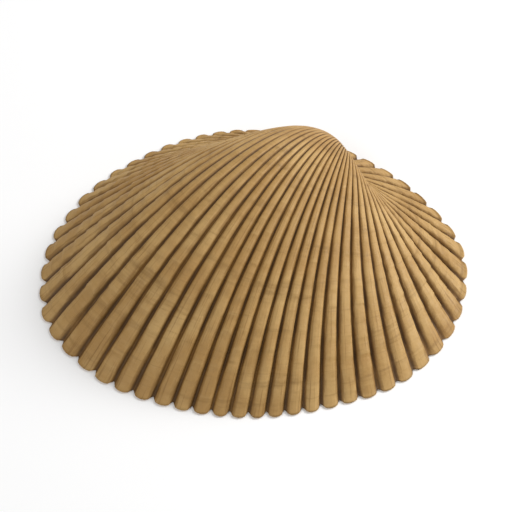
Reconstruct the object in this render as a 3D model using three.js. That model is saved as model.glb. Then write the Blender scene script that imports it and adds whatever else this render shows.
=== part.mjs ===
import * as THREE from 'three';

// One valve of a ribbed clam, lying dome up on its rim.
// Millimetres, +Z up. +X runs along the length, +Y points to the hinge, and z = 0 is the plane of the rim.
// The valve grew as one piece, so it is one closed solid with its ribs, beak, rim and hinge edge in it.

// Margin: distances from the middle of the plan at equal angles, anticlockwise from +X.
const MARGIN_RADII = [
  32.2, 27.8, 24.5, 22.9, 22.6, 22.9, 24.3, 27.2,
  30.6, 32.7, 31.2, 29.1, 28.5, 29.2, 31.9, 33.2,
];

// Growth: every older margin is a smaller copy of the last one, turned about the coiling axis at the beak.
const BEAK = new THREE.Vector3( 11.8, 14.0, 0 );
const COIL_RATE = 1.05; // natural logarithm of the growth in each radian of turn
const COIL_AXIS_TURN = THREE.MathUtils.degToRad( - 30.4 ); // about +Z, from +X
const COIL_AXIS_TILT = THREE.MathUtils.degToRad( 2.9 ); // up from the plane of the rim
const BEAK_LIFT = 4.2; // height of the beak's tip above the rim
const BEAK_SIZE = 0.03; // size of the first margin as a share of the last one

// Ribs
const RIB_COUNT = 51;
const RIB_DEPTH = 0.75; // at the margin
const RIB_CROWN = 0.12; // how far the middle of a rib stands above its shoulders
const RIB_WIDTH_CHANGE = 0.17; // the ribs are wider at the two ends of the valve and narrower in front
const RIB_SHOULDER = 0.16; // from the groove to the flat top, as a share of the rib's width
const RIB_FADE = 1.5; // number of ribs over which they fade out beside the hinge
const RIM_BLEND = 0.12; // share of the growth over which the grooves turn from the flat rim to the dome
const HINGE_FROM = 0.15; // share of the way round the margin, anticlockwise from +X
const HINGE_TO = 0.22;

// Wall: the bowl is the outer form drawn in towards a point of the rim plane that lies off the middle,
// so that the wall is thin in front and widens to the hinge plate behind.
const BOWL_POINT = new THREE.Vector3( - 1, - 10, 0 );
const BOWL_SCALE = new THREE.Vector3( 0.885, 0.855, 0.84 );
const BOWL_DEEPEST = 0.42; // the bowl follows the outer form up to this margin
const BOWL_VAULT = [ // then closes as a vault under the beak: margin, and share of that margin's size
  { growth: 0.37, share: 0.82 },
  { growth: 0.33, share: 0.55 },
  { growth: 0.31, share: 0.25 },
];

// Facets
const HINGE_COLUMNS = 12;
const OUTER_ROWS = 15;
const BOWL_ROWS = 7;
const COLUMNS_PER_BOWL_COLUMN = 3;
const ROW_CROWDING = 1.6; // crowds the rows towards the beak, where the form turns fastest
const EDGE_DIVISIONS = 800;

const coilAxis = new THREE.Vector3(
  Math.cos( COIL_AXIS_TILT ) * Math.cos( COIL_AXIS_TURN ),
  Math.cos( COIL_AXIS_TILT ) * Math.sin( COIL_AXIS_TURN ),
  Math.sin( COIL_AXIS_TILT ),
);

const margin = makeMargin();

function makeMargin() {

  const points = MARGIN_RADII.map( ( radius, i ) => {

    const angle = 2 * Math.PI * i / MARGIN_RADII.length;
    return new THREE.Vector3( radius * Math.cos( angle ), radius * Math.sin( angle ), 0 );

  } );
  const curve = new THREE.CatmullRomCurve3( points, true, 'catmullrom', 0.5 );
  curve.arcLengthDivisions = EDGE_DIVISIONS;
  return curve;

}

// A point of the smooth outer form. arc is the share of the way round the margin,
// and growth is the size of that margin as a share of the last one.
function formPoint( arc, growth ) {

  const point = margin.getPointAt( arc - Math.floor( arc ) ).sub( BEAK );
  point.applyAxisAngle( coilAxis, Math.log( growth ) / COIL_RATE ).multiplyScalar( growth );
  const lift = BEAK_LIFT * ( 1 - growth * growth );
  point.z = ( point.z + Math.hypot( point.z, 2 * lift ) ) / 2;
  return point.add( BEAK );

}

function formNormal( arc, growth ) {

  const step = 0.002;
  const along = formPoint( arc + step, growth ).sub( formPoint( arc - step, growth ) );
  const outer = Math.min( 1, growth * ( 1 + step ) ); // the form ends at the margin
  const inwards = formPoint( arc, growth * ( 1 - step ) ).sub( formPoint( arc, outer ) );
  return along.cross( inwards ).normalize();

}

// Where each rib starts on the margin, with the end of the last one after it.
function ribStarts() {

  const span = 1 - ( HINGE_TO - HINGE_FROM );
  const starts = [ 0 ];
  for ( let i = 0; i < RIB_COUNT; i ++ ) {

    const arc = HINGE_TO + span * ( i + 0.5 ) / RIB_COUNT;
    const width = 1 + RIB_WIDTH_CHANGE * Math.cos( 4 * Math.PI * arc );
    starts.push( starts[ i ] + width );

  }

  return starts.map( ( start ) => HINGE_TO + span * start / starts[ RIB_COUNT ] );

}

// The columns of facets that run from the margin to the beak, each with its height against the rib tops.
function shellColumns() {

  const columns = [];
  const starts = ribStarts();
  for ( let i = 0; i < RIB_COUNT; i ++ ) {

    const fade = Math.min( 1, ( Math.min( i, RIB_COUNT - i ) + 0.5 ) / RIB_FADE );
    const width = starts[ i + 1 ] - starts[ i ];
    columns.push( { arc: starts[ i ], height: - RIB_DEPTH * fade } );
    columns.push( { arc: starts[ i ] + width * RIB_SHOULDER, height: 0 } );
    columns.push( { arc: starts[ i ] + width / 2, height: RIB_CROWN * fade } );
    columns.push( { arc: starts[ i ] + width * ( 1 - RIB_SHOULDER ), height: 0 } );

  }

  for ( let i = 0; i < HINGE_COLUMNS; i ++ ) {

    const arc = 1 + HINGE_FROM + ( HINGE_TO - HINGE_FROM ) * i / HINGE_COLUMNS;
    columns.push( { arc, height: 0 } );

  }

  return columns;

}

function ribbedPoint( column, growth ) {

  const normal = formNormal( column.arc, growth );
  normal.z *= Math.min( 1, ( 1 - growth ) / RIM_BLEND ); // the rim is flat
  return formPoint( column.arc, growth ).addScaledVector( normal, column.height * growth );

}

function bowlPoint( arc, growth ) {

  return formPoint( arc, growth ).sub( BOWL_POINT ).multiply( BOWL_SCALE ).add( BOWL_POINT );

}

function middleOf( points ) {

  const sum = new THREE.Vector3();
  points.forEach( ( point ) => sum.add( point ) );
  return sum.divideScalar( points.length );

}

function outerRings( columns ) {

  const rings = [];
  for ( let row = 0; row <= OUTER_ROWS; row ++ ) {

    const share = row / OUTER_ROWS;
    const last = Math.pow( BEAK_SIZE, 1 / ROW_CROWDING );
    const growth = row === 0 ? 1 : Math.pow( 1 - share * ( 1 - last ), ROW_CROWDING );
    rings.push( columns.map( ( column ) => ribbedPoint( column, growth ) ) );

  }

  return rings;

}

function bowlRings( arcs ) {

  const rings = [];
  for ( let row = 0; row <= BOWL_ROWS; row ++ ) {

    const growth = 1 - ( 1 - BOWL_DEEPEST ) * row / BOWL_ROWS;
    rings.push( arcs.map( ( arc ) => bowlPoint( arc, growth ) ) );

  }

  for ( const { growth, share } of BOWL_VAULT ) {

    const ring = arcs.map( ( arc ) => bowlPoint( arc, growth ) );
    const middle = middleOf( ring );
    rings.push( ring.map( ( point ) => point.lerp( middle, 1 - share ) ) );

  }

  return rings;

}

// Collects points and triangles. A ring is a list of point numbers that runs anticlockwise.
class ClosedSkin {

  constructor() {

    this.positions = [];
    this.triangles = [];

  }

  addRing( points ) {

    return points.map( ( point ) => this.positions.push( point.x, point.y, point.z ) / 3 - 1 );

  }

  addTriangle( a, b, c, reversed ) {

    if ( reversed ) this.triangles.push( a, c, b );
    else this.triangles.push( a, b, c );

  }

  // Joins two rings. The first has a whole number of times as many points as the second.
  join( wide, narrow, reversed ) {

    const times = wide.length / narrow.length;
    wide.forEach( ( a, i ) => {

      const b = wide[ ( i + 1 ) % wide.length ];
      const here = narrow[ Math.floor( i / times ) ];
      this.addTriangle( a, b, here, reversed );
      if ( ( i + 1 ) % times === 0 ) {

        const next = narrow[ ( ( i + 1 ) / times ) % narrow.length ];
        this.addTriangle( b, next, here, reversed );

      }

    } );

  }

  close( ring, point, reversed ) {

    const [ tip ] = this.addRing( [ point ] );
    ring.forEach( ( a, i ) => this.addTriangle( a, ring[ ( i + 1 ) % ring.length ], tip, reversed ) );

  }

  toGeometry() {

    const geometry = new THREE.BufferGeometry();
    geometry.setAttribute( 'position', new THREE.Float32BufferAttribute( this.positions, 3 ) );
    geometry.setIndex( this.triangles );
    return geometry;

  }

}

function makeValve() {

  const columns = shellColumns();
  const outer = outerRings( columns );
  const bowlArcs = columns.filter( ( column, i ) => i % COLUMNS_PER_BOWL_COLUMN === 0 ).map( ( { arc } ) => arc );
  const bowl = bowlRings( bowlArcs );

  const skin = new ClosedSkin();
  const outerNumbers = outer.map( ( ring ) => skin.addRing( ring ) );
  const bowlNumbers = bowl.map( ( ring ) => skin.addRing( ring ) );

  for ( let i = 1; i < outerNumbers.length; i ++ ) skin.join( outerNumbers[ i - 1 ], outerNumbers[ i ], false );
  for ( let i = 1; i < bowlNumbers.length; i ++ ) skin.join( bowlNumbers[ i - 1 ], bowlNumbers[ i ], true );
  skin.join( outerNumbers[ 0 ], bowlNumbers[ 0 ], true ); // the flat rim
  skin.close( outerNumbers.at( - 1 ), middleOf( outer.at( - 1 ) ), false ); // the tip of the beak
  skin.close( bowlNumbers.at( - 1 ), middleOf( bowl.at( - 1 ) ), true ); // the top of the vault

  const geometry = skin.toGeometry();
  geometry.computeBoundingBox();
  const { min, max } = geometry.boundingBox;
  geometry.translate( - ( min.x + max.x ) / 2, - ( min.y + max.y ) / 2, - min.z );
  geometry.computeVertexNormals();
  return geometry;

}

const shellMaterial = new THREE.MeshStandardMaterial( { color: 0xb4945c, roughness: 0.6, metalness: 0 } );

const valve = new THREE.Mesh( makeValve(), shellMaterial );
valve.name = 'shell_valve';

const clamShell = new THREE.Group();
clamShell.add( valve );

export default clamShell;
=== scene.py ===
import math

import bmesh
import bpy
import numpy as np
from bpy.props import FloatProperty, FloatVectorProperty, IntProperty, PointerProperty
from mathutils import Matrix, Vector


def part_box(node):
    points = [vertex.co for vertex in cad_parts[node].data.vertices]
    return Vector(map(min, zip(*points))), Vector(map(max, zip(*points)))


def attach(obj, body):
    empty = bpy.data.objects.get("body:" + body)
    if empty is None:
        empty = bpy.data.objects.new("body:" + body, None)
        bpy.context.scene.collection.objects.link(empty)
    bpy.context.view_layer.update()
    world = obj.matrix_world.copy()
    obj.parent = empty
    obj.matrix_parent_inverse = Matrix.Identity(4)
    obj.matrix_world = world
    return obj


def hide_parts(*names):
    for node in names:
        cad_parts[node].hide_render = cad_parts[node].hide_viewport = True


bl_info = {
    "name": "Ribbed Clam Shell",
    "version": (1, 0, 0),
    "blender": (4, 5, 0),
    "location": "View3D > Sidebar > Shell",
    "description": "Adds one valve of a ribbed clam, lying dome up, and a plain stage for it",
    "category": "Add Mesh",
}

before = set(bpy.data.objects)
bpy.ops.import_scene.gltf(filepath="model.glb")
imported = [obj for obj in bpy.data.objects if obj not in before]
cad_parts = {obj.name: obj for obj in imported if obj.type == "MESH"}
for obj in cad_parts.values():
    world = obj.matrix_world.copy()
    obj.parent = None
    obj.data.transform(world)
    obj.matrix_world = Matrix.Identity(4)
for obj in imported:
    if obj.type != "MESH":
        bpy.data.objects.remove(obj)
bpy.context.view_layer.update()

NODE = "shell_valve"
VALVE_LOW, VALVE_HIGH = (Vector(corner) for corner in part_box(NODE))
MM = 0.001

# Form of the valve, in millimetres, as in the solid
MARGIN_RADII = (
    32.2, 27.8, 24.5, 22.9, 22.6, 22.9, 24.3, 27.2,
    30.6, 32.7, 31.2, 29.1, 28.5, 29.2, 31.9, 33.2,
)
BEAK = np.array((11.8, 14.0, 0.0))
COIL_RATE = 1.05
COIL_AXIS_TURN = math.radians(-30.4)
COIL_AXIS_TILT = math.radians(2.9)
BEAK_LIFT = 4.2
BEAK_SIZE = 0.03
RIB_COUNT = 51
RIB_WIDTH_CHANGE = 0.17
RIB_FADE = 1.5
HINGE_FROM = 0.15
HINGE_TO = 0.22
RIM_BLEND = 0.12
BOWL_POINT = np.array((-1.0, -10.0, 0.0))
BOWL_SCALE = np.array((0.885, 0.855, 0.84))
BOWL_DEEPEST = 0.42
BOWL_VAULT = ((0.37, 0.82), (0.33, 0.55), (0.31, 0.25))
EDGE_DIVISIONS = 800

# Fineness of the mesh. Places across one rib are shares of its width, close together at the groove.
RIB_PLACES = np.array((0.0, 0.05, 0.11, 0.18, 0.32, 0.5, 0.68, 0.82, 0.89, 0.95))
HINGE_COLUMNS = 30
HINGE_RIBLETS = 5
OUTER_ROWS = 150
RIM_ROWS = 14
BOWL_ROWS = 40
VAULT_ROWS = 8
ROW_CROWDING = 1.35
COLUMNS_PER_BOWL_COLUMN = 2
WELD_DISTANCE = 0.004 * MM

# Grooves. Widths are shares of a rib's width.
GROOVE_FLOOR = 0.01
GROOVE_HALF_WIDTH = 0.18
GROOVE_WIDTH_CHANGE = 0.07
RIBLET_HALF_WIDTH = 0.4
RIBLET_DEPTH = 0.22  # against a groove's
HINGE_BLEND = 0.08  # share of the smooth part behind the beak over which its two ends turn into ribs
CROWN_LEVEL = 0.7
SCALLOP_LEVEL = 0.65

# Growth steps. Shifts are shares of the way from one step to the next.
STEP_RISE = 0.12
STEP_MIDDLE = 0.5
STEP_BOW = 0.5
STEP_WAVE = 0.35
STEP_WAVES = 9
STEP_SHIFT_PER_RIB = 1.7
STEP_DRIFT = 0.25
STEP_DRIFT_RATE = 0.37
STEP_DRIFT_START = 11
STEP_NUMBERS_PER_RIB = 31
WEAKEST_STEP = 0.25

# Where the relief is. Each pair is where it starts and where it is full, as growth.
SCALLOP_GROWTH = (0.93, 1.0)
STEPS_GROWTH = (0.15, 0.8)
LIP_GROWTH = (0.9, 1.0)
TEETH_GROWTH = (0.86, 0.99)
BOWL_BROWN_GROWTH = (0.9, 1.0)
ROOMY_WAY = (6, 34)  # millimetres from the beak to the margin
FRONT_FROM = (0.36, 0.5)  # shares of the way round the margin, where the clam's front edge starts
FRONT_TO = (0.96, 1.0)  # and where it ends

FINE_LINES = 70
FINE_LINE_WAVES = 40
FINE_LINE_WAVE = 0.6
FINE_LINE_HEIGHT = 0.05
RIM_INSET = 1.4  # start of the flat rim, in radii of the lip
LAST_SLOPE = 0.999  # growth whose normals serve the rim
WAY_TO_FRONT = 4.2  # centimetres from the beak to the front margin

# Marks in the bowl: the middle of each oval, its two half sizes and its turn in degrees
MUSCLE_SCARS = (((-20.5, 5.0), (5.2, 3.4), -50), ((22.0, -1.5), (4.4, 2.9), 62))
HINGE_SOCKETS = (((4.2, 19.9), (1.9, 1.0), 118), ((8.6, 19.7), (1.7, 1.0), 96))
SCAR_EDGE = (0.82, 1.08)  # from the inside of an oval's edge to its outside, in half sizes
SOCKET_EDGE = (0.45, 1.0)
SCAR_LIMIT = 0.97
MANTLE_LINE = 0.84  # growth at which the mantle left its line
MANTLE_LINE_EDGE = (0.006, 0.018)
MANTLE_LINE_WAVE = 0.012
MANTLE_LINE_WAVES = 40
MANTLE_LINE_STRENGTH = 0.7

# Seeds of the fixed noises
GROOVE_SEED = 3
STEP_WAVE_SEED = 5
STEP_STRENGTH_SEED = 6
STEP_DRIFT_SEED = 8
FINE_LINE_WAVE_SEED = 9
FINE_LINE_SEED = 12
HASH_STEP = 12.9898
HASH_SEED_STEP = 78.233
HASH_SIZE = 43758.5453

# Patterns of the material
BLOTCH_SIZE = 9 * MM
GRAIN_SIZE = 0.7 * MM
PIT_SIZE = 0.35 * MM
BUMP_HEIGHT = 0.12 * MM

# Stage, in metres
KEY_SIZE = 0.22
KEY_PLACE = (0.34, 0.14, 0.24)
FILL_SIZE = 0.5
FILL_PLACE = (-0.35, -0.35, 0.45)
FILL_SHARE = 0.5  # of the key light's power
FLOOR_HALF = 3.0
FLOOR_GAP = 0.02 * MM  # keeps the floor clear of the flat rim
PHOTO_PIXELS = 512
PHOTO_MIDDLE = Vector((254.0, 270.5))  # middle of the valve in the photograph
CLIP_START = 0.01


def linear(hex_colour):
    """Linear red, green and blue of an sRGB hex colour."""
    parts = [int(hex_colour[i:i + 2], 16) / 255 for i in (1, 3, 5)]
    return [p / 12.92 if p <= 0.04045 else ((p + 0.055) / 1.055) ** 2.4 for p in parts]


def length_property(name, description, millimetres):
    return FloatProperty(name=name, description=description, default=millimetres * MM, unit="LENGTH")


def colour_property(name, description, hex_colour):
    return FloatVectorProperty(
        name=name, description=description, default=linear(hex_colour), subtype="COLOR", min=0, max=1
    )


class ShellRelief(bpy.types.PropertyGroup):
    rib_depth: length_property("Rib Depth", "Depth of the grooves at the margin", 0.75)
    rib_crown: length_property("Rib Crown", "How far the middle of a rib stands above its shoulders", 0.34)
    step_height: length_property("Growth Step", "Height of the scaly steps that growth left on the ribs", 0.3)
    step_spacing: length_property("Step Spacing", "Distance between two steps near the margin", 1.9)
    scallop: length_property("Scallop", "How far a rib's rounded end stands out at the margin", 0.45)
    lip: length_property("Lip", "Radius of the worn outer edge of the rim", 0.22)
    crenulation: length_property("Crenulation", "Height of the small teeth inside the front margin", 0.35)
    scar_depth: length_property("Scar Depth", "Depth of the two muscle scars in the bowl", 0.14)
    socket_depth: length_property("Socket Depth", "Depth of the hinge sockets in the hinge plate", 0.6)


class ShellColours(bpy.types.PropertyGroup):
    rib: colour_property("Rib", "Horn tan of the rib tops", "#A98145")
    worn: colour_property("Worn", "Pale worn places on the rib tops", "#BF9A5E")
    band: colour_property("Band", "Darker growth bands", "#86632C")
    # Groove and Stain are brown stain and painted shade: the browns beside and in the grooves also paint the
    # shade that falls in them.
    groove: colour_property("Groove", "Brown that stays beside the grooves", "#7A5418")
    stain_and_shade: colour_property("Stain and Shade", "Darkest brown, in the grooves", "#52350A")
    bowl: colour_property("Bowl", "Cream of the bowl", "#DCCBA6")
    bowl_edge: colour_property("Bowl Edge", "Tan of the bowl near the margin", "#B99C6A")
    scar: colour_property("Scar", "Muscle scars and the line between them", "#B79A70")


class StageSettings(bpy.types.PropertyGroup):
    floor: colour_property("Floor", "Plain white floor", "#FDFDFD")
    camera_elevation: FloatProperty(
        name="Camera Elevation", description="Angle of the view above the floor",
        default=math.radians(57.2), subtype="ANGLE",
    )
    lens: FloatProperty(name="Lens", description="Focal length in millimetres", default=250.0)
    seen_length: IntProperty(
        name="Seen Length", description="Length of the valve in the photograph, in pixels",
        default=426, subtype="PIXEL",
    )
    key_power: FloatProperty(
        name="Key Power", description="Power of the key light", default=1.75, unit="POWER"
    )
    fill_strength: FloatProperty(name="Fill", description="Strength of the even light", default=0.5)


def coil_axis():
    """Unit vector along the axis that the valve coils about as it grows."""
    flat = math.cos(COIL_AXIS_TILT)
    x, y = flat * math.cos(COIL_AXIS_TURN), flat * math.sin(COIL_AXIS_TURN)
    return np.array((x, y, math.sin(COIL_AXIS_TILT)))


def margin_spline(place):
    """Closed smooth curve through the ends of the margin's radii. place runs from 0 to 1."""
    angles = np.arange(len(MARGIN_RADII)) * 2 * math.pi / len(MARGIN_RADII)
    knots = np.stack((np.cos(angles), np.sin(angles)), -1) * np.array(MARGIN_RADII)[:, None]
    along = np.asarray(place) * len(knots)
    first = np.floor(along).astype(int)
    part = (along - first)[..., None]
    before, start, end, after = (knots[(first + i) % len(knots)] for i in (-1, 0, 1, 2))
    leave, arrive = (end - before) / 2, (after - start) / 2
    cubic = 2 * (start - end) + leave + arrive
    square = 3 * (end - start) - 2 * leave - arrive
    return start + part * (leave + part * (square + part * cubic))


def margin_points(arc):
    """Points of the margin at shares of its length, anticlockwise from +X."""
    places = np.linspace(0, 1, EDGE_DIVISIONS + 1)
    steps = np.linalg.norm(np.diff(margin_spline(places), axis=0), axis=-1)
    lengths = np.concatenate(((0,), np.cumsum(steps)))
    flat = margin_spline(np.interp(np.mod(arc, 1) * lengths[-1], lengths, places))
    return np.concatenate((flat, np.zeros(flat.shape[:-1] + (1,))), -1)


def form_points(arc, growth):
    """Points of the smooth outer form, one row for each growth and one column for each arc."""
    arms = margin_points(arc) - BEAK
    axis = coil_axis()
    turn = (np.log(growth) / COIL_RATE)[..., None]
    turned = (
        arms * np.cos(turn)
        + np.cross(axis, arms) * np.sin(turn)
        + axis * (arms @ axis)[..., None] * (1 - np.cos(turn))
    )
    points = turned * growth[..., None]
    lift = BEAK_LIFT * (1 - growth**2)
    points[..., 2] = (points[..., 2] + np.hypot(points[..., 2], 2 * lift)) / 2
    return points + BEAK


def unit(vectors):
    return vectors / np.maximum(np.linalg.norm(vectors, axis=-1, keepdims=True), 1e-9)


def form_normals(arc, growth):
    """Outward normals of the smooth outer form, from small steps round it and up it."""
    step = 0.002
    along = form_points(arc + step, growth) - form_points(arc - step, growth)
    outer = np.minimum(growth * (1 + step), 1)  # the form ends at the margin
    inwards = form_points(arc, growth * (1 - step)) - form_points(arc, outer)
    return unit(np.cross(along, inwards))


def smooth(low, high, x):
    """0 below low, 1 above high and a soft step between."""
    part = np.clip((x - low) / (high - low), 0, 1)
    return part * part * (3 - 2 * part)


def hash_noise(number, seed):
    """A fixed random value from 0 to 1 for each whole number."""
    mixed = np.sin(np.asarray(number, float) * HASH_STEP + seed * HASH_SEED_STEP) * HASH_SIZE
    return mixed - np.floor(mixed)


def wander(x, seed):
    """Smooth fixed noise from 0 to 1 along a line, one bump for each unit of x."""
    low = np.floor(x)
    part = x - low
    part = part * part * (3 - 2 * part)
    return hash_noise(low, seed) * (1 - part) + hash_noise(low + 1, seed) * part


def rib_starts():
    """Where each rib starts on the margin, with the end of the last one after it."""
    span = 1 - (HINGE_TO - HINGE_FROM)
    middles = HINGE_TO + span * (np.arange(RIB_COUNT) + 0.5) / RIB_COUNT
    widths = 1 + RIB_WIDTH_CHANGE * np.cos(4 * math.pi * middles)
    ends = np.concatenate(((0,), np.cumsum(widths)))
    return HINGE_TO + span * ends / ends[-1]


def shell_columns():
    """For each column of the mesh: its arc, its rib's number and its place across the rib."""
    starts = rib_starts()
    widths = np.diff(starts)
    ribs = np.repeat(np.arange(RIB_COUNT), len(RIB_PLACES))
    places = np.tile(RIB_PLACES, RIB_COUNT)
    rib_arcs = starts[ribs] + widths[ribs] * places
    hinge_share = np.arange(HINGE_COLUMNS) / HINGE_COLUMNS
    hinge_arcs = 1 + HINGE_FROM + (HINGE_TO - HINGE_FROM) * hinge_share
    arcs = np.concatenate((rib_arcs, hinge_arcs))
    numbers = np.concatenate((ribs, np.full(HINGE_COLUMNS, RIB_COUNT)))
    across = np.concatenate((places, hinge_share))
    return arcs, numbers, across


def way_from_groove(numbers, across):
    """0 in a groove and 0.5 on the middle of a rib, or of one of the faint riblets beside the hinge."""
    place = np.where(numbers < RIB_COUNT, across, np.mod(across * HINGE_RIBLETS, 1))
    return np.minimum(place, 1 - place)


def groove_profile(numbers, across):
    """How deep the groove is, from 0 on a rib to 1, and how much of a rib there is, from 0 to 1.
    The ribs fade out beside the hinge, where there are only faint riblets."""
    from_groove = way_from_groove(numbers, across)
    half_width = GROOVE_HALF_WIDTH + GROOVE_WIDTH_CHANGE * hash_noise(numbers, GROOVE_SEED)
    groove = 1 - smooth(GROOVE_FLOOR, half_width, from_groove)
    from_hinge = np.minimum(numbers, RIB_COUNT - numbers) + 0.5
    fade = np.clip(from_hinge / RIB_FADE, 0, 1)
    riblet = RIBLET_DEPTH * (1 - smooth(0, RIBLET_HALF_WIDTH, from_groove))
    first_end = 1 - smooth(0, HINGE_BLEND, across)
    last_end = 0.5 / RIB_FADE * smooth(1 - HINGE_BLEND, 1, across)
    hinge_end = np.maximum(first_end, last_end)
    on_rib = numbers < RIB_COUNT
    depth = np.where(on_rib, groove * fade, np.maximum(riblet, hinge_end))
    return depth, np.where(on_rib, fade, hinge_end)


def growth_steps(numbers, across, growth, way, spacing):
    """Scaly steps on the ribs: each rises slowly towards the margin and then drops.
    way is the distance from the beak to the margin."""
    reach = way * (1 - growth) / spacing
    wave = STEP_WAVE * wander(growth * STEP_WAVES + numbers * STEP_SHIFT_PER_RIB, STEP_WAVE_SEED)
    shifted = reach + wave + STEP_BOW * (across - 0.5) ** 2
    shifted = shifted + STEP_DRIFT * wander(reach * STEP_DRIFT_RATE + STEP_DRIFT_START, STEP_DRIFT_SEED)
    part = shifted - np.floor(shifted)
    saw = smooth(0, STEP_RISE, part) * (1 - part)
    chance = hash_noise(np.floor(shifted) + numbers * STEP_NUMBERS_PER_RIB, STEP_STRENGTH_SEED)
    return saw * (WEAKEST_STEP + (1 - WEAKEST_STEP) * chance)


def outer_points(arc, numbers, across, growth, relief):
    """The ribbed outer face, and the groove and step that shape each point."""
    form = form_points(arc, growth)
    normals = form_normals(arc, growth)
    normals[..., 2] *= np.minimum(1, (1 - growth) / RIM_BLEND)
    groove, ribbed = groove_profile(numbers, across)
    crown = (4 * across * (1 - across) - CROWN_LEVEL) * ribbed
    scallop = (np.sin(math.pi * across) - SCALLOP_LEVEL) * ribbed * smooth(*SCALLOP_GROWTH, growth)
    way = np.linalg.norm(margin_points(arc) - BEAK, axis=-1)
    steps = growth_steps(numbers, across, growth, way, relief.step_spacing / MM) * ribbed * (1 - groove)
    room = smooth(*ROOMY_WAY, way)
    stepped = (steps - STEP_MIDDLE) * ribbed * (1 - groove) * smooth(*STEPS_GROWTH, growth) * room
    wave = FINE_LINE_WAVE * wander(arc * FINE_LINE_WAVES, FINE_LINE_WAVE_SEED)
    fine_lines = wander(growth * FINE_LINES + wave, FINE_LINE_SEED) - 0.5
    height = FINE_LINE_HEIGHT * fine_lines - groove * relief.rib_depth / MM
    height = height + crown * relief.rib_crown / MM + scallop * room * relief.scallop / MM
    height = height + stepped * relief.step_height / MM
    points = form + normals * (height * growth)[..., None]
    points[..., 2] = np.maximum(points[..., 2], relief.lip / MM * smooth(*LIP_GROWTH, growth))
    return points, groove, steps


def bowl_points(arc, growth):
    return (form_points(arc, growth) - BOWL_POINT) * BOWL_SCALE + BOWL_POINT


class ShellSkin:
    """A sheet of the shell made from a grid, with the values that its material reads."""

    VALUES = ("growth", "groove", "from_groove", "inside", "scar", "step")

    def __init__(self, rows, columns):
        self.bm = bmesh.new()
        bmesh.ops.create_grid(self.bm, x_segments=columns, y_segments=rows - 1, size=1)

    def fill(self, points, uv, values):
        """Moves the grid's vertices to the points. The last column repeats the first."""
        layers = {name: self.bm.verts.layers.float.new(name) for name in self.VALUES}
        closed = np.concatenate((points, points[:, :1]), 1).reshape(-1, 3) * MM
        spread = {name: np.concatenate((v, v[:, :1]), 1).ravel() for name, v in values.items()}
        for index, vert in enumerate(self.bm.verts):
            vert.co = closed[index]
            for name, layer in layers.items():
                vert[layer] = spread[name][index]
        uv_layer = self.bm.loops.layers.uv.new("growth_map")
        corner_uv = uv.reshape(-1, 2)
        for face in self.bm.faces:
            for loop in face.loops:
                loop[uv_layer].uv = corner_uv[loop.vert.index]
        return self.bm


def spread_rows(start, end, rows, crowding):
    """Growth values from start to end, closer together at the small end."""
    low, high = start ** (1 / crowding), end ** (1 / crowding)
    return np.linspace(low, high, rows) ** crowding


def build_outer(relief):
    """Rows run from the tip of the beak to the margin."""
    arcs, numbers, across = shell_columns()
    growth = spread_rows(BEAK_SIZE, 1, OUTER_ROWS + 1, ROW_CROWDING)
    arc_grid, growth_grid = np.meshgrid(arcs, growth)
    number_grid, across_grid = (np.broadcast_to(v, arc_grid.shape) for v in (numbers, across))
    points, groove, steps = outer_points(arc_grid, number_grid, across_grid, growth_grid, relief)
    tip = points[0].mean(0)
    points = np.concatenate((np.broadcast_to(tip, (1,) + points[0].shape), points))
    values = {
        "growth": growth_grid, "groove": groove, "inside": np.zeros_like(groove),
        "from_groove": way_from_groove(number_grid, across_grid),
        "scar": np.zeros_like(groove), "step": steps,
    }
    values = {name: np.concatenate((v[:1], v)) for name, v in values.items()}
    uv = grid_uv(numbers, across, values["growth"])
    skin = ShellSkin(OUTER_ROWS + 2, len(arcs))
    return skin.fill(points, uv, values)


def grid_uv(numbers, across, growth):
    """U counts the ribs, and V is the way from the beak in centimetres, as it is in front."""
    wide = np.where(numbers < RIB_COUNT, 1, HINGE_RIBLETS)
    u = np.append(numbers + across * wide, RIB_COUNT + HINGE_RIBLETS)
    u_grid = np.broadcast_to(u, (growth.shape[0], len(u)))
    v_grid = np.concatenate((growth, growth[:, :1]), 1) * WAY_TO_FRONT
    return np.stack((u_grid, v_grid), -1)


def oval_mask(points, ovals, edge):
    """1 in the ovals and 0 outside them, with a soft edge."""
    mask = np.zeros(points.shape[:-1])
    for (x, y), (long_half, short_half), degrees in ovals:
        turn = math.radians(degrees)
        dx, dy = points[..., 0] - x, points[..., 1] - y
        along = (dx * math.cos(turn) + dy * math.sin(turn)) / long_half
        aside = (-dx * math.sin(turn) + dy * math.cos(turn)) / short_half
        mask = np.maximum(mask, 1 - smooth(*edge, np.hypot(along, aside)))
    return mask


def bowl_rows(arcs, edge, lip):
    """Smooth rows of points, and their growth, from the outer edge of the rim over the bowl to its top."""
    one = np.ones_like(arcs)
    bowl_edge = bowl_points(arcs, one)
    flat_edge = edge * (1, 1, 0)
    first = flat_edge + unit(bowl_edge - flat_edge) * lip * RIM_INSET
    rows = [first + (bowl_edge - first) * share for share in np.linspace(0, 1, RIM_ROWS)]
    growth = [one] * RIM_ROWS
    for step in np.linspace(1, BOWL_DEEPEST, BOWL_ROWS + 1)[1:]:
        rows.append(bowl_points(arcs, one * step))
        growth.append(one * step)
    vault = np.array(((BOWL_DEEPEST, 1.0),) + BOWL_VAULT + ((BOWL_VAULT[-1][0], 0.0),))
    for place in np.linspace(0, len(vault) - 1, VAULT_ROWS + 1)[1:]:
        step, share = (np.interp(place, np.arange(len(vault)), column) for column in vault.T)
        ring = bowl_points(arcs, one * step)
        rows.append(ring.mean(0) + (ring - ring.mean(0)) * share)
        growth.append(one * step)
    return np.array(rows), np.array(growth)


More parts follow.
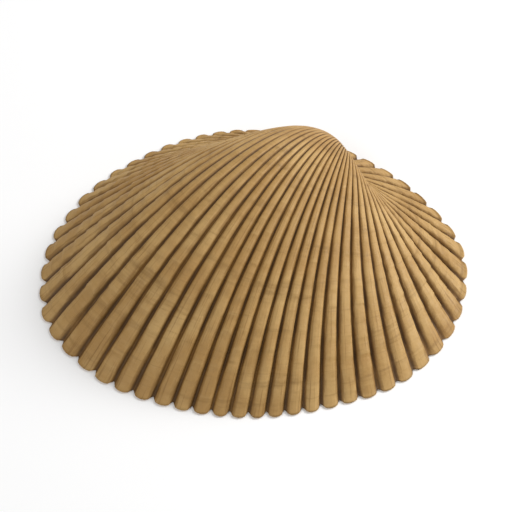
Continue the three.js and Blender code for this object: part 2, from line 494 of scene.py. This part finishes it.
def build_bowl(relief):
    """The flat rim with its hinge sockets, and the bowl with its teeth, muscle scars and mantle line."""
    arcs, numbers, across = (values[::COLUMNS_PER_BOWL_COLUMN] for values in shell_columns())
    front = smooth(*FRONT_FROM, np.mod(arcs, 1)) * (1 - smooth(*FRONT_TO, np.mod(arcs, 1)))
    groove = groove_profile(numbers, across)[0] * front
    edge, _, _ = outer_points(arcs, numbers, across, np.ones_like(arcs), relief)
    points, growth = bowl_rows(arcs, edge, relief.lip / MM)
    row_number = np.arange(len(points))[:, None]
    normals = form_normals(np.broadcast_to(arcs, growth.shape), np.minimum(growth, LAST_SLOPE))

    teeth = groove * smooth(*TEETH_GROWTH, growth) * relief.crenulation / MM
    points = points - normals * (teeth * (row_number >= RIM_ROWS))[..., None]
    rim_teeth = groove * (row_number == RIM_ROWS - 1) * relief.crenulation / MM
    points = points - unit(normals * (1, 1, 0)) * rim_teeth[..., None]
    scar = oval_mask(points, MUSCLE_SCARS, SCAR_EDGE) * (growth < SCAR_LIMIT)
    points = points + normals * (scar * relief.scar_depth / MM)[..., None]
    sockets = oval_mask(points, HINGE_SOCKETS, SOCKET_EDGE) * (row_number < RIM_ROWS)
    points[..., 2] = np.maximum(points[..., 2], 0) + sockets * relief.socket_depth / MM

    wave = MANTLE_LINE_WAVE * np.sin(arcs * MANTLE_LINE_WAVES)
    line = 1 - smooth(*MANTLE_LINE_EDGE, np.abs(growth - MANTLE_LINE + wave))
    values = {
        "growth": growth, "groove": groove * smooth(*BOWL_BROWN_GROWTH, growth),
        "from_groove": np.full_like(growth, 0.5),
        "inside": np.broadcast_to(np.minimum(row_number / (RIM_ROWS - 1), 1), growth.shape),
        "scar": np.maximum(scar, MANTLE_LINE_STRENGTH * line * front), "step": np.zeros_like(growth),
    }
    skin = ShellSkin(len(points), len(arcs))
    return skin.fill(points, grid_uv(numbers, across, growth), values)


def join_skins(outer, bowl):
    """One closed mesh from the outer face and the bowl, joined at the edge of the rim."""
    whole = bmesh.new()
    for part in (outer, bowl):
        holder = bpy.data.meshes.new("part_of_valve")
        part.to_mesh(holder)
        part.free()
        whole.from_mesh(holder)
        bpy.data.meshes.remove(holder)
    bmesh.ops.remove_doubles(whole, verts=whole.verts, dist=WELD_DISTANCE)
    edges = [edge for edge in whole.edges if edge.is_boundary]
    bmesh.ops.bridge_loops(whole, edges=edges)
    bmesh.ops.triangulate(whole, faces=[face for face in whole.faces if len(face.verts) > 4])
    bmesh.ops.recalc_face_normals(whole, faces=whole.faces)
    return whole


def valve_shift():
    """Moves the middle of the margin to the middle of the solid's box."""
    edge = margin_points(np.linspace(0, 1, EDGE_DIVISIONS))
    middle = (edge.min(0) + edge.max(0)) / 2 * MM
    solid_middle = (VALVE_LOW + VALVE_HIGH) / 2
    return Vector((solid_middle.x - middle[0], solid_middle.y - middle[1], VALVE_LOW.z))


def add_node(tree, kind, links=(), **settings):
    """Adds a node. settings are its properties. links are its inputs, each a socket or a value."""
    node = tree.nodes.new(kind)
    for name, value in settings.items():
        setattr(node, name, value)
    for name, value in dict(links).items():
        join(tree, value, node.inputs[name])
    return node


def join(tree, value, socket):
    """Links a socket to an input, or gives the input a value."""
    if isinstance(value, bpy.types.NodeSocket):
        tree.links.new(value, socket)
    else:
        socket.default_value = value


def paint_over(tree, colour, layers):
    """Blends the colour of each layer over what is below it, by the layer's share."""
    for share, paint in layers:
        node = add_node(tree, "ShaderNodeMix", data_type="RGBA")
        for index, value in ((0, share), (6, colour), (7, paint)):
            join(tree, value, node.inputs[index])
        colour = node.outputs[2]
    return colour


def ramp(tree, value, low, high, from_value=0.0, to_value=1.0):
    """A soft step from low to high."""
    links = {"Value": value, "From Min": low, "From Max": high, "To Min": from_value, "To Max": to_value}
    return add_node(tree, "ShaderNodeMapRange", links, interpolation_type="SMOOTHSTEP").outputs[0]


def times(tree, first, second):
    return add_node(tree, "ShaderNodeMath", {0: first, 1: second}, operation="MULTIPLY").outputs[0]


def noise(tree, vector, scale, detail, roughness):
    links = {"Vector": vector, "Scale": scale, "Detail": detail, "Roughness": roughness}
    return add_node(tree, "ShaderNodeTexNoise", links).outputs["Fac"]


def value_of(tree, name):
    """A value that the mesh carries."""
    node = add_node(tree, "ShaderNodeAttribute", attribute_name=name, attribute_type="GEOMETRY")
    return node.outputs["Fac"]


def stretched_map(tree, across, along):
    """The growth map, stretched so that a pattern is long down the ribs or round the shell."""
    uv = add_node(tree, "ShaderNodeUVMap", uv_map="growth_map").outputs[0]
    links = {"Vector": uv, "Scale": (across, along, 1.0)}
    return add_node(tree, "ShaderNodeMapping", links, vector_type="POINT").outputs[0]


def opaque(colour):
    return tuple(colour) + (1.0,)


class ShellPatterns:
    """The mesh values and noises that the colours, gloss and bumps of the shell are made from."""

    def __init__(self, tree):
        place = add_node(tree, "ShaderNodeTexCoord").outputs["Object"]
        self.groove = value_of(tree, "groove")
        self.blotches = noise(tree, place, 1 / BLOTCH_SIZE, 5.0, 0.6)
        self.grain = noise(tree, place, 1 / GRAIN_SIZE, 3.0, 0.6)
        self.pits = noise(tree, place, 1 / PIT_SIZE, 4.0, 0.65)
        self.streaks = noise(tree, stretched_map(tree, 9.0, 1.1), 1.0, 5.0, 0.6)
        self.hatching = noise(tree, stretched_map(tree, 2.6, 1.3), 1.6, 4.0, 0.6)
        self.bands = noise(tree, stretched_map(tree, 0.12, 4.5), 1.0, 4.0, 0.65)
        self.fine_bands = noise(tree, stretched_map(tree, 0.3, 26.0), 1.0, 3.0, 0.6)


def outside_colour(tree, colours, patterns):
    """Worn tan ribs with growth bands, and brown that reaches unevenly out of the grooves and is darkest in
    them: stain and painted shade.
    """
    worn, band, brown = (opaque(colour) for colour in (colours.worn, colours.band, colours.groove))
    stain_and_shade_reach = ramp(tree, patterns.hatching, 0.34, 0.66, 0.1, 0.42)
    stain_and_shade_share = ramp(tree, patterns.hatching, 0.36, 0.56)
    stain_and_shade_brown = paint_over(tree, brown, [(stain_and_shade_share, opaque(colours.stain_and_shade))])
    return paint_over(tree, opaque(colours.rib), (
        (ramp(tree, patterns.blotches, 0.35, 0.7), worn),
        (ramp(tree, patterns.bands, 0.52, 0.74, 0.0, 0.75), band),
        (ramp(tree, patterns.fine_bands, 0.55, 0.8, 0.0, 0.4), band),
        (ramp(tree, patterns.streaks, 0.54, 0.68, 0.0, 0.55), brown),
        (ramp(tree, value_of(tree, "step"), 0.5, 0.9, 0.0, 0.6), worn),
        # Brown stain and painted shade: brown reaching out of each groove onto the rib, and the darkest brown
        # in the groove itself.
        (ramp(tree, value_of(tree, "from_groove"), 0.04, stain_and_shade_reach, 0.85, 0.0), brown),
        (ramp(tree, patterns.groove, 0.2, 0.85, 0.0, 0.95), stain_and_shade_brown),
    ))


def bowl_colour(tree, colours, patterns):
    """Cream that turns tan towards the margin, with the scars and the mantle line."""
    edge, scar = opaque(colours.bowl_edge), opaque(colours.scar)
    return paint_over(tree, opaque(colours.bowl), (
        (ramp(tree, value_of(tree, "growth"), 0.6, 1.0), edge),
        (ramp(tree, patterns.blotches, 0.45, 0.8, 0.0, 0.4), edge),
        (times(tree, value_of(tree, "scar"), 0.6), scar),
        (ramp(tree, patterns.groove, 0.2, 0.9, 0.0, 0.5), scar),
    ))


def horny_shell(colours):
    """Aragonite shell under a worn horny skin: matt tan ribs with brown in the grooves, partly stain and
    partly painted shade.
    The bowl is bare smooth shell, paler and with a soft gloss."""
    material = bpy.data.materials.new("Ribbed shell, weathered aragonite")
    material.use_nodes = True
    tree = material.node_tree
    shader = tree.nodes["Principled BSDF"]
    patterns = ShellPatterns(tree)

    inside = ramp(tree, value_of(tree, "inside"), 0.0, 0.35)
    outside = outside_colour(tree, colours, patterns)
    colour = paint_over(tree, outside, [(inside, bowl_colour(tree, colours, patterns))])
    tree.links.new(colour, shader.inputs["Base Color"])

    matt = ramp(tree, patterns.grain, 0.2, 0.8, 0.56, 0.74)
    satin = ramp(tree, patterns.blotches, 0.3, 0.7, 0.26, 0.38)
    links = {"Factor": inside, "A": matt, "B": satin}
    gloss = add_node(tree, "ShaderNodeMix", links, data_type="FLOAT")
    tree.links.new(gloss.outputs[0], shader.inputs["Roughness"])

    relief = patterns.pits
    for pattern in (patterns.fine_bands, patterns.streaks):
        relief = add_node(tree, "ShaderNodeMath", {0: relief, 1: pattern}, operation="ADD").outputs[0]
    outside_only = ramp(tree, inside, 0.0, 1.0, 0.5, 0.06)
    links = {"Height": relief, "Strength": outside_only, "Distance": BUMP_HEIGHT}
    tree.links.new(add_node(tree, "ShaderNodeBump", links).outputs[0], shader.inputs["Normal"])
    shader.inputs["IOR"].default_value = 1.53
    return material


def plain_paper(colour):
    """Smooth matt paper under the object: even and without gloss."""
    material = bpy.data.materials.new("Backdrop, matt paper")
    material.use_nodes = True
    shader = material.node_tree.nodes["Principled BSDF"]
    shader.inputs["Base Color"].default_value = opaque(colour)
    shader.inputs["Roughness"].default_value = 0.9
    shader.inputs["Specular IOR Level"].default_value = 0.2
    return material


class SHELL_OT_add_valve(bpy.types.Operator):
    """Adds the valve: a ribbed outer face and a smooth bowl, joined at the rim"""

    bl_idname = "shell.add_valve"
    bl_label = "Add Valve"

    def execute(self, context):
        relief = context.scene.shell_relief
        whole = join_skins(build_outer(relief), build_bowl(relief))
        bmesh.ops.translate(whole, verts=whole.verts, vec=valve_shift())
        for face in whole.faces:
            face.smooth = True
        mesh = bpy.data.meshes.new("ribbed_valve")
        whole.to_mesh(mesh)
        whole.free()
        mesh.materials.append(horny_shell(context.scene.shell_colours))
        valve = bpy.data.objects.new("ribbed_valve", mesh)
        context.scene.collection.objects.link(valve)
        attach(valve, "root")
        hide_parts(NODE)
        return {"FINISHED"}


def add_soft_light(context, name, size, power, place):
    """A square light that faces the middle of the valve's foot."""
    light = bpy.data.lights.new(name, "AREA")
    light.size = size
    light.energy = power
    lamp = bpy.data.objects.new(name, light)
    lamp.location = place
    lamp.rotation_euler = (-Vector(place)).to_track_quat("-Z", "Y").to_euler()
    context.scene.collection.objects.link(lamp)


def add_camera(context, settings):
    """Looks down on the valve from the front, as the photograph does."""
    camera_data = bpy.data.cameras.new("camera")
    camera_data.lens = settings.lens
    length = VALVE_HIGH.x - VALVE_LOW.x
    seen_width = length * PHOTO_PIXELS / settings.seen_length
    distance = seen_width * camera_data.lens / camera_data.sensor_width
    elevation = settings.camera_elevation
    back = Vector((0, -math.cos(elevation), math.sin(elevation)))
    up = Vector((0, math.sin(elevation), math.cos(elevation)))
    metres_per_pixel = seen_width / PHOTO_PIXELS
    aside = (PHOTO_PIXELS / 2 - PHOTO_MIDDLE.x) * metres_per_pixel
    raised = (PHOTO_MIDDLE.y - PHOTO_PIXELS / 2) * metres_per_pixel
    middle = Vector(((VALVE_LOW.x + VALVE_HIGH.x) / 2, (VALVE_LOW.y + VALVE_HIGH.y) / 2, 0))
    target = middle + Vector((1, 0, 0)) * aside + up * raised
    camera = bpy.data.objects.new("camera", camera_data)
    camera.location = target + back * distance
    camera.rotation_euler = (-back).to_track_quat("-Z", "Y").to_euler()
    camera_data.clip_start = CLIP_START
    context.scene.collection.objects.link(camera)
    context.scene.camera = camera


class SHELL_OT_add_stage(bpy.types.Operator):
    """Adds the floor, the soft lights and the camera"""

    bl_idname = "shell.add_stage"
    bl_label = "Add Stage"

    def execute(self, context):
        settings = context.scene.shell_stage
        sheet = bmesh.new()
        bmesh.ops.create_grid(sheet, x_segments=1, y_segments=1, size=FLOOR_HALF)
        mesh = bpy.data.meshes.new("floor")
        sheet.to_mesh(mesh)
        sheet.free()
        mesh.materials.append(plain_paper(settings.floor))
        floor = bpy.data.objects.new("floor", mesh)
        floor.location.z = VALVE_LOW.z - FLOOR_GAP
        context.scene.collection.objects.link(floor)

        power = settings.key_power
        add_soft_light(context, "key_light", KEY_SIZE, power, KEY_PLACE)
        add_soft_light(context, "fill_light", FILL_SIZE, power * FILL_SHARE, FILL_PLACE)

        world = bpy.data.worlds.new("even_light")
        world.use_nodes = True
        background = world.node_tree.nodes["Background"]
        background.inputs["Color"].default_value = (1, 1, 1, 1)
        background.inputs["Strength"].default_value = settings.fill_strength
        context.scene.world = world
        context.scene.view_settings.view_transform = "Standard"
        add_camera(context, settings)
        return {"FINISHED"}


class SHELL_PT_panel(bpy.types.Panel):
    """Sizes, colours and buttons for the shell"""

    bl_idname = "SHELL_PT_panel"
    bl_label = "Ribbed Clam Shell"
    bl_space_type = "VIEW_3D"
    bl_region_type = "UI"
    bl_category = "Shell"

    def draw(self, context):
        scene = context.scene
        for settings in (scene.shell_relief, scene.shell_colours, scene.shell_stage):
            box = self.layout.box()
            for name in settings.__annotations__:
                box.prop(settings, name)
        self.layout.operator(SHELL_OT_add_valve.bl_idname)
        self.layout.operator(SHELL_OT_add_stage.bl_idname)


CLASSES = (
    ShellRelief,
    ShellColours,
    StageSettings,
    SHELL_OT_add_valve,
    SHELL_OT_add_stage,
    SHELL_PT_panel,
)


def register():
    for cls in CLASSES:
        bpy.utils.register_class(cls)
    bpy.types.Scene.shell_relief = PointerProperty(type=ShellRelief)
    bpy.types.Scene.shell_colours = PointerProperty(type=ShellColours)
    bpy.types.Scene.shell_stage = PointerProperty(type=StageSettings)


def unregister():
    del bpy.types.Scene.shell_stage
    del bpy.types.Scene.shell_colours
    del bpy.types.Scene.shell_relief
    for cls in reversed(CLASSES):
        bpy.utils.unregister_class(cls)


def main():
    register()
    bpy.ops.shell.add_valve()
    bpy.ops.shell.add_stage()


if __name__ == "__main__":
    main()
